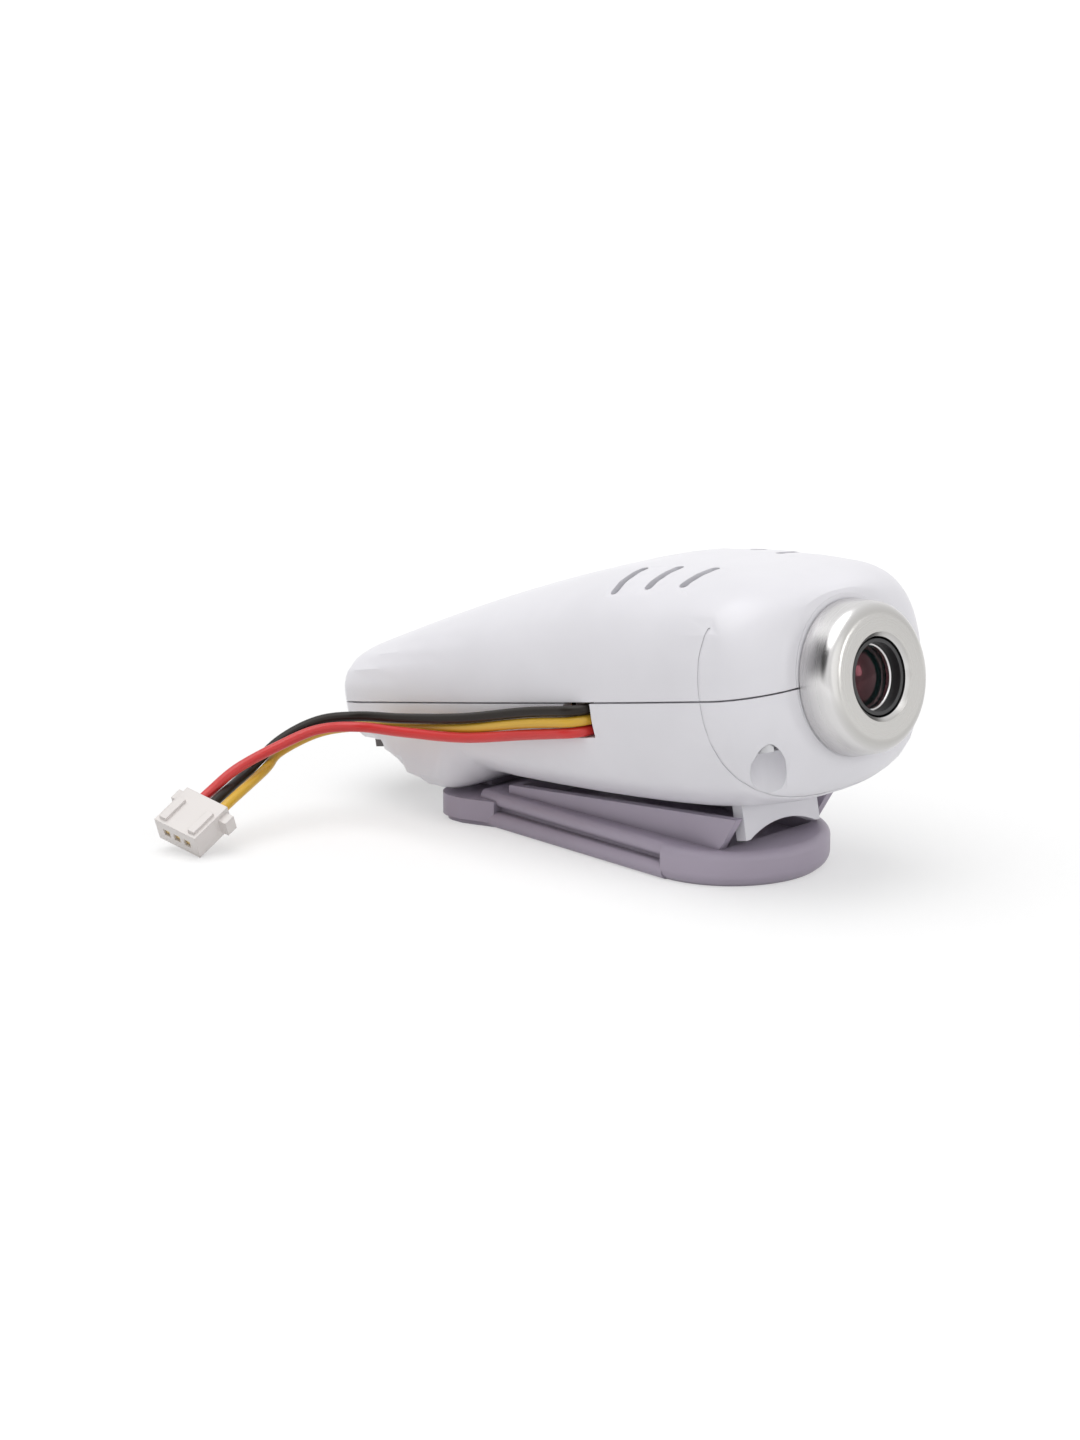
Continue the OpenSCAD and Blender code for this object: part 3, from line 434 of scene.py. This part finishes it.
def calmed(name, mesh, turn):
    """The mesh shaded smooth up to a turn, with normals weighted by the faces' areas."""
    mesh.shade_smooth()
    mesh.set_sharp_from_angle(angle=turn)
    holder = new_piece(f"{name}_flat", mesh)
    holder.modifiers.new("calm", "WEIGHTED_NORMAL").keep_sharp = True
    depsgraph = bpy.context.evaluated_depsgraph_get()
    calm = bpy.data.meshes.new_from_object(holder.evaluated_get(depsgraph), depsgraph=depsgraph)
    bpy.data.objects.remove(holder)
    calm.name = name
    return calm


# %% Lines of crisp edges
straight_on = math.cos(math.radians(40))
least_length = 1e-12


def values_of(items, key, width, kind=float):
    """One property of all the items of a mesh as an array."""
    flat = np.zeros(len(items) * width, dtype=kind)
    items.foreach_get(key, flat)
    return flat.reshape(-1, width) if width > 1 else flat


def unit(rows):
    return rows / np.maximum(np.linalg.norm(rows, axis=1, keepdims=True), least_length)


def crease_tangents(points, edges, crisp):
    """The direction of each crisp edge's line at both its ends, pointing along the edge."""
    along = points[edges[:, 1]] - points[edges[:, 0]]
    length = np.linalg.norm(along, axis=1)
    way = unit(along)
    meeting = {}
    for e in np.flatnonzero(crisp):
        for v in edges[e]:
            meeting.setdefault(int(v), []).append(int(e))
    tangents = np.stack([way, way], axis=1)
    for v, pair in meeting.items():
        if len(pair) != 2:
            continue
        signs = [1 if edges[e, 0] == v else -1 for e in pair]
        away = [s * way[e] for s, e in zip(signs, pair)]
        if -away[0] @ away[1] < straight_on:
            continue
        for a, b in ((0, 1), (1, 0)):
            through = away[a] * length[pair[b]] - away[b] * length[pair[a]]
            end = 0 if signs[a] == 1 else 1
            tangents[pair[a], end] = signs[a] * through / np.linalg.norm(through)
    return tangents


# %% Rounded facets
most_lift = 0.06
# The middle of a cubic stands off its chord by an eighth of the difference of its end slopes
slope_share = 1 / 8


def rounded(mesh):
    """Each triangle split in four, with the new points on the curve that the normals describe."""
    points = values_of(mesh.vertices, "co", 3)
    edges = values_of(mesh.edges, "vertices", 2, int)
    corners = values_of(mesh.loops, "vertex_index", 1, int).reshape(-1, 3)
    sides = values_of(mesh.loops, "edge_index", 1, int).reshape(-1, 3)
    normals = values_of(mesh.corner_normals, "vector", 3).reshape(-1, 3, 3)
    crisp = values_of(mesh.edges, "use_edge_sharp", 1, bool)
    ends = points[edges]
    along = ends[:, 1] - ends[:, 0]
    length = np.linalg.norm(along, axis=1, keepdims=True)
    lift = np.zeros_like(along)
    for k in range(3):
        edge = sides[:, k]
        forward = (edges[edge, 0] == corners[:, k])[:, None]
        here, there = normals[:, k], normals[:, (k + 1) % 3]
        first, last = np.where(forward, here, there), np.where(forward, there, here)
        step = along[edge]
        slope_first = (step * first).sum(1)[:, None] * first
        slope_last = (step * last).sum(1)[:, None] * last
        lift[edge] = (slope_last - slope_first) * slope_share
    tangents = crease_tangents(points, edges, crisp)
    lift[crisp] = (length * (tangents[:, 0] - tangents[:, 1]) * slope_share)[crisp]
    size = np.linalg.norm(lift, axis=1, keepdims=True)
    lift *= np.minimum(1, most_lift * length / np.maximum(size, least_length))
    middles = ends.mean(1) + lift
    new = len(points) + sides
    faces = [np.stack([corners[:, k], new[:, k], new[:, k - 1]], axis=1) for k in range(3)]
    faces = np.concatenate(faces + [new])
    finer = bpy.data.meshes.new(mesh.name)
    finer.from_pydata(np.concatenate([points, middles]).tolist(), [], faces.tolist())
    return finer


# %% Smooth skins
rounds = 2
skins = {}
for node, finish_slot in (("upper_shell", "pod_white"), ("lower_shell", "pod_white"),
                          ("lens_front_glass", "lens_glass")):
    name = f"{node}_skin"
    mesh = welded(node)
    for k in range(rounds):
        mesh = rounded(calmed(name, mesh, crisp_turn))
    skins[node] = new_piece(name, calmed(name, mesh, crisp_turn))
    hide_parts(node)
    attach(skins[node], "pod")
print("skins:", {n: len(s.data.polygons) for n, s in skins.items()})

# %% [markdown]
# ## Finishes
# A few helpers keep the node trees short. Each effect that several finishes share is a node group:
# the fine grain that a mould leaves, painted shade where walls stand close together, and the marks
# of a lathe round an axis. The painted shade is found by Ambient Occlusion, which asks how open a
# place is.

# %% Shader helpers
# Sockets of the Mix node when it mixes colours
MIX_A, MIX_B, MIX_RESULT = 6, 7, 2


def math_node(tree, operation, a, b=0.0):
    return add(tree, "ShaderNodeMath", {0: a, 1: b}, operation=operation).outputs[0]


def vector_node(tree, operation, a, b, output):
    values = {0: a} if b is None else {0: a, 1: b}
    return add(tree, "ShaderNodeVectorMath", values, operation=operation).outputs[output]


def mixed(tree, factor, a, b, blend="MIX"):
    """A colour between two others, or one multiplied by the other."""
    return add(tree, "ShaderNodeMix", {"Factor": factor, MIX_A: a, MIX_B: b},
               data_type="RGBA", blend_type=blend).outputs[MIX_RESULT]


def mapped(tree, value, band=(0.0, 1.0), to=(0.0, 1.0)):
    """A value carried from one band to another and held at its ends."""
    return add(tree, "ShaderNodeMapRange", {"Value": value, "From Min": band[0], "From Max": band[1],
                                            "To Min": to[0], "To Max": to[1]}).outputs[0]


def new_finish(name):
    """A material with a plain Principled BSDF, as (material, tree, shader)."""
    material = bpy.data.materials.get(name) or bpy.data.materials.new(name)
    material.use_nodes = True
    tree = material.node_tree
    return material, tree, tree.nodes["Principled BSDF"]


# %% Moulded grain
cloud_scale, cloud_detail = 90.0, 3.0
cloud_band = (0.3, 0.7)
fine_detail = 2.0


def build_grain():
    """Fine skin of a moulding: a mottled tone, a varied roughness and a shallow relief."""
    tree, given, out = new_group("moulded_grain", "ShaderNodeTree", [
        ("Colour", COLOUR, (0.8, 0.8, 0.8, 1)), ("Shade", NUMBER, 0.94), ("Roughness", NUMBER, 0.35),
        ("Vary", NUMBER, 0.1), ("Grain", NUMBER, 2500.0)],
        [("Colour", COLOUR), ("Roughness", NUMBER), ("Height", NUMBER)])
    place = tree.nodes.new("ShaderNodeTexCoord").outputs["Object"]
    cloud = add(tree, "ShaderNodeTexNoise", {"Vector": place, "Scale": cloud_scale,
                                             "Detail": cloud_detail}).outputs["Fac"]
    fine = add(tree, "ShaderNodeTexNoise", {"Vector": place, "Scale": given["Grain"],
                                            "Detail": fine_detail}).outputs["Fac"]
    dark = mixed(tree, 1.0, given["Colour"], given["Shade"], "MULTIPLY")
    tone = mixed(tree, mapped(tree, cloud, cloud_band), dark, given["Colour"])
    varied = math_node(tree, "MULTIPLY", math_node(tree, "SUBTRACT", fine, 0.5), given["Vary"])
    tree.links.new(tone, out.inputs["Colour"])
    tree.links.new(math_node(tree, "ADD", given["Roughness"], varied), out.inputs["Roughness"])
    tree.links.new(fine, out.inputs["Height"])
    return tree


grain = build_grain()

# %% Painted shade in narrow crevices
painted_shade_band = (0.35, 0.8)
painted_shade_samples = 8


def build_painted_shade():
    """Painted shade in narrow crevices: the colour darkened where the piece's own walls stand close together."""
    tree, given, out = new_group("painted_gap_shade", "ShaderNodeTree", [
        ("Colour", COLOUR, (0.8, 0.8, 0.8, 1)), ("Reach", NUMBER, 1.2 * MM), ("Shade", NUMBER, 0.6)],
        [("Colour", COLOUR)])
    free = add(tree, "ShaderNodeAmbientOcclusion", {"Distance": given["Reach"]}, samples=painted_shade_samples,
               only_local=True).outputs["AO"]
    level = mapped(tree, free, painted_shade_band, (given["Shade"], 1.0))
    tree.links.new(mixed(tree, 1.0, given["Colour"], level, "MULTIPLY"), out.inputs["Colour"])
    return tree


painted_shade_group = build_painted_shade()

# %% Lathe marks
marks_detail = 2.0
marks_vary = 0.03


def build_lathe():
    """Fine rings round an axis, as a turned piece has them, and a mask of the front of the lens ring, where
    painted shade goes.
    """
    tree, given, out = new_group("lathe_marks", "ShaderNodeTree", [
        ("Centre", VECTOR, tuple(ring_centre)), ("Axis", VECTOR, tuple(pod_ahead)),
        ("Rings per metre", NUMBER, 9000.0), ("Roughness", NUMBER, 0.25),
        ("Face from", NUMBER, 3.1 * MM), ("Face to", NUMBER, 3.65 * MM)],
        [("Roughness", NUMBER), ("Height", NUMBER), ("Face", NUMBER)])
    place = tree.nodes.new("ShaderNodeTexCoord").outputs["Object"]
    away = vector_node(tree, "SUBTRACT", place, given["Centre"], "Vector")
    across = vector_node(tree, "CROSS_PRODUCT", away, given["Axis"], "Vector")
    radius = vector_node(tree, "LENGTH", across, None, "Value")
    depth = vector_node(tree, "DOT_PRODUCT", away, given["Axis"], "Value")
    rings = add(tree, "ShaderNodeTexNoise", {
        "W": math_node(tree, "ADD", radius, depth), "Scale": given["Rings per metre"],
        "Detail": marks_detail}, noise_dimensions="1D").outputs["Fac"]
    varied = mapped(tree, rings, to=(-marks_vary, marks_vary))
    painted_shade_face = mapped(tree, depth, (given["Face from"], given["Face to"]))
    tree.links.new(math_node(tree, "ADD", given["Roughness"], varied), out.inputs["Roughness"])
    tree.links.new(rings, out.inputs["Height"])
    tree.links.new(painted_shade_face, out.inputs["Face"])
    return tree


lathe = build_lathe()

# %% [markdown]
# ## Plastics
# White and grey mouldings, the black lens parts and the wires' insulation differ in colour, gloss and
# grain, so one function makes them all. The edges of a moulding are never knife-sharp: the Bevel node
# rounds how they catch the light. The pod and the shoe also have painted shade in their narrow crevices.

# %% Plastic finishes
edge_round = 0.08 * MM
edge_samples = 4
grain_relief = 0.002 * MM
grain_strength = 0.3


def plastic(name, colour, roughness, shade=0.94, gloss=0.5, painted_shade_in_gaps=None):
    """A moulded finish; its shade in crevices, if given, is painted shade: how far it reaches, in millimetres, and
    how dark it gets.
    """
    material, tree, shader = new_finish(name)
    skin = add(tree, "ShaderNodeGroup", {"Colour": (*colour, 1), "Shade": shade,
                                         "Roughness": roughness}, node_tree=grain)
    edges = add(tree, "ShaderNodeBevel", {"Radius": edge_round}, samples=edge_samples).outputs[0]
    bump = add(tree, "ShaderNodeBump", {"Strength": grain_strength, "Distance": grain_relief,
                                        "Height": skin.outputs["Height"], "Normal": edges}).outputs[0]
    tone = skin.outputs["Colour"]
    # Painted shade: the colour darkened where the piece's own walls stand close together.
    if painted_shade_in_gaps:
        tone = add(tree, "ShaderNodeGroup", {"Colour": tone, "Reach": painted_shade_in_gaps[0] * MM, "Shade": painted_shade_in_gaps[1]},
                   node_tree=painted_shade_group).outputs["Colour"]
    tree.links.new(tone, shader.inputs["Base Color"])
    tree.links.new(skin.outputs["Roughness"], shader.inputs["Roughness"])
    tree.links.new(bump, shader.inputs["Normal"])
    shader.inputs["Specular IOR Level"].default_value = gloss
    return material


plastics = {
    # Painted shade in crevices: how far it reaches, in millimetres, and how dark it gets.
    "pod_white": dict(colour=(0.82, 0.81, 0.85), roughness=0.34, painted_shade_in_gaps=(1.2, 0.76)),
    # The shoe is white plastic; its grey colour is painted shade, for the shade it sits in under the pod.
    "shoe_white": dict(colour=(0.44, 0.388, 0.475), roughness=0.45, painted_shade_in_gaps=(2.5, 0.65)),
    "lens_black": dict(colour=(0.028, 0.028, 0.03), roughness=0.42),
    "board_green": dict(colour=(0.02, 0.16, 0.06), roughness=0.3),
    "chip_black": dict(colour=(0.02, 0.02, 0.022), roughness=0.5),
    "ceramic": dict(colour=(0.42, 0.3, 0.18), roughness=0.5),
    "ribbon_amber": dict(colour=(0.5, 0.24, 0.05), roughness=0.25),
    "card_dark": dict(colour=(0.1, 0.085, 0.085), roughness=0.4),
    "plug_white": dict(colour=(0.76, 0.72, 0.7), roughness=0.4),
    "wire_black": dict(colour=(0.02, 0.015, 0.012), roughness=0.36, shade=0.8, gloss=0.25),
    "wire_yellow": dict(colour=(0.72, 0.43, 0.04), roughness=0.3, shade=0.88),
    "wire_red": dict(colour=(0.66, 0.03, 0.03), roughness=0.3, shade=0.88),
}
finishes = {name: plastic(name, **looks) for name, looks in plastics.items()}
print("plastics:", len(finishes))

# %% [markdown]
# ## Metals and glass
# The ring is turned and satin, so its marks run round the axis, and its front is painted a shade
# darker than its side: painted shade, for the lesser light that the front mirrors. The pin, screws and
# socket are plain steel. The lens is dark glass whose coating reflects red.

# %% Metal and glass finishes
marks_relief = 0.001 * MM
marks_strength = 0.1
glass_roughness = 0.1
glass_gloss = 1.0


def metal(name, colour, roughness, painted_shade_face=None):
    """A turned finish; the colour for the ring's front, if given, is painted shade, darker than its side."""
    material, tree, shader = new_finish(name)
    marks = add(tree, "ShaderNodeGroup", {"Roughness": roughness}, node_tree=lathe)
    bump = add(tree, "ShaderNodeBump", {"Strength": marks_strength, "Distance": marks_relief,
                                        "Height": marks.outputs["Height"]}).outputs[0]
    shader.inputs["Base Color"].default_value = (*colour, 1)
    shader.inputs["Metallic"].default_value = 1.0
    # Painted shade: the ring's front gets a darker copy of its colour.
    if painted_shade_face:
        tone = mixed(tree, marks.outputs["Face"], (*colour, 1), (*painted_shade_face, 1))
        tree.links.new(tone, shader.inputs["Base Color"])
    tree.links.new(marks.outputs["Roughness"], shader.inputs["Roughness"])
    tree.links.new(bump, shader.inputs["Normal"])
    return material


def coated_glass(name, colour, tint):
    """Dark glass with a coating that tints what it reflects."""
    material, tree, shader = new_finish(name)
    skin = add(tree, "ShaderNodeGroup", {"Colour": (*colour, 1)}, node_tree=grain)
    tree.links.new(skin.outputs["Colour"], shader.inputs["Base Color"])
    shader.inputs["Roughness"].default_value = glass_roughness
    shader.inputs["Specular IOR Level"].default_value = glass_gloss
    shader.inputs["Specular Tint"].default_value = (*tint, 1)
    return material


metals = {
    # The ring's front colour is painted shade, darker than its side.
    "ring_silver": dict(colour=(0.66, 0.65, 0.65), roughness=0.26, painted_shade_face=(0.5, 0.49, 0.475)),
    "steel": dict(colour=(0.5, 0.5, 0.515), roughness=0.5),
    "contact_brass": dict(colour=(0.72, 0.55, 0.26), roughness=0.3),
}
glasses = {
    "lens_glass": dict(colour=(0.001, 0.021, 0.02), tint=(1.0, 0.27, 0.35)),
    "filter_glass": dict(colour=(0.2, 0.02, 0.03), tint=(1.0, 0.4, 0.4)),
}
finishes.update({name: metal(name, **looks) for name, looks in metals.items()})
finishes.update({name: coated_glass(name, **looks) for name, looks in glasses.items()})

slot_of = {s["node"]: s["material_slot"] for s in frame["record"]["subparts"]}
for node, piece in [*nodes.items(), *skins.items()]:
    piece.data.materials.clear()
    piece.data.materials.append(finishes[slot_of[node]])
print("finished nodes:", len(slot_of))

# %% [markdown]
# ## Stage and light
# The photograph has a white ground with a soft shadow under the shoe. A pale floor takes the shadow,
# and shows brighter to the camera with distance, as a lit paper sweep does. One wide lamp overhead and
# one ahead light the pod. A third, small, low and to the left, is what the lens mirrors to the camera.
# The world is a white tent that gives about half its light. Mirrors alone see a dark flag in it, which
# draws the dark patch on the ring.

# %% Floor
floor_half = 4.0
floor_drop = 0.02 * MM
floor_pale, floor_seen = 0.8, 0.5
glow_band = (0.06, 0.4)
glow_levels = (0.5, 0.95)


def shown_rays(tree):
    """A mask of what the camera sees, also in a mirror and through glass, and one of mirrors alone."""
    seen = tree.nodes.new("ShaderNodeLightPath").outputs
    plain = math_node(tree, "MAXIMUM", seen["Is Camera Ray"], seen["Is Glossy Ray"])
    return math_node(tree, "MAXIMUM", plain, seen["Is Transmission Ray"]), seen["Is Glossy Ray"]


floor = new_piece("floor", bpy.data.meshes.new("floor"))
floor.data.from_pydata([(sx * floor_half, sy * floor_half, -floor_drop)
                        for sx, sy in ((-1, -1), (1, -1), (1, 1), (-1, 1))], [], [(0, 1, 2, 3)])
material, tree, shader = new_finish("floor")
shader.inputs["Roughness"].default_value = 1.0
shader.inputs["Specular IOR Level"].default_value = 0.0
shown, mirrored = shown_rays(tree)
tree.links.new(mapped(tree, shown, to=(floor_pale, floor_seen)), shader.inputs["Base Color"])
place = tree.nodes.new("ShaderNodeTexCoord").outputs["Object"]
away = vector_node(tree, "LENGTH", place, None, "Value")
glow = mapped(tree, away, glow_band, glow_levels)
shader.inputs["Emission Color"].default_value = (1, 1, 1, 1)
tree.links.new(math_node(tree, "MULTIPLY", shown, glow), shader.inputs["Emission Strength"])
floor.data.materials.append(material)

# %% World
world_level = 0.51
flag_way = Vector((-0.3, -0.75, 0.59)).normalized()
flag_band = (0.82, 0.92)
flag_depth = 0.97
world = bpy.data.worlds.new("studio")
scene.world = world
world.use_nodes = True
tree = world.node_tree
background = tree.nodes["Background"]
background.inputs["Color"].default_value = (1, 1, 1, 1)
shown, mirrored = shown_rays(tree)
way = tree.nodes.new("ShaderNodeTexCoord").outputs["Generated"]
facing = vector_node(tree, "DOT_PRODUCT", way, flag_way, "Value")
covered = mapped(tree, facing, flag_band, (0.0, flag_depth))
open_share = math_node(tree, "SUBTRACT", 1.0, math_node(tree, "MULTIPLY", covered, mirrored))
tent = mapped(tree, shown, to=(world_level, 1.0))
tree.links.new(math_node(tree, "MULTIPLY", tent, open_share), background.inputs["Strength"])
print("world:", world.name, "at", world_level)

# %% Lamps
# Place, aim, width in metres and power in watts of each lamp
lamps = {
    "overhead": ((-0.06, -0.14, 0.7), (0, 0, 0.01), 0.8, 3.3),
    "ahead": ((0.6, -0.12, 0.25), (0, 0, 0.02), 0.6, 0.42),
    "low_left": ((0.53, 0.305, 0.14), (0.03, 0, 0.02), 0.12, 0.18),
}
for name, (place, aim, width, watts) in lamps.items():
    light = bpy.data.lights.new(name, "AREA")
    light.shape = "DISK"
    light.size = width
    light.energy = watts
    lamp = bpy.data.objects.new(name, light)
    scene.collection.objects.link(lamp)
    lamp.location = place
    lamp.rotation_mode = "QUATERNION"
    lamp.rotation_quaternion = (Vector(place) - Vector(aim)).to_track_quat("Z", "Y")
print("lamps:", list(lamps))
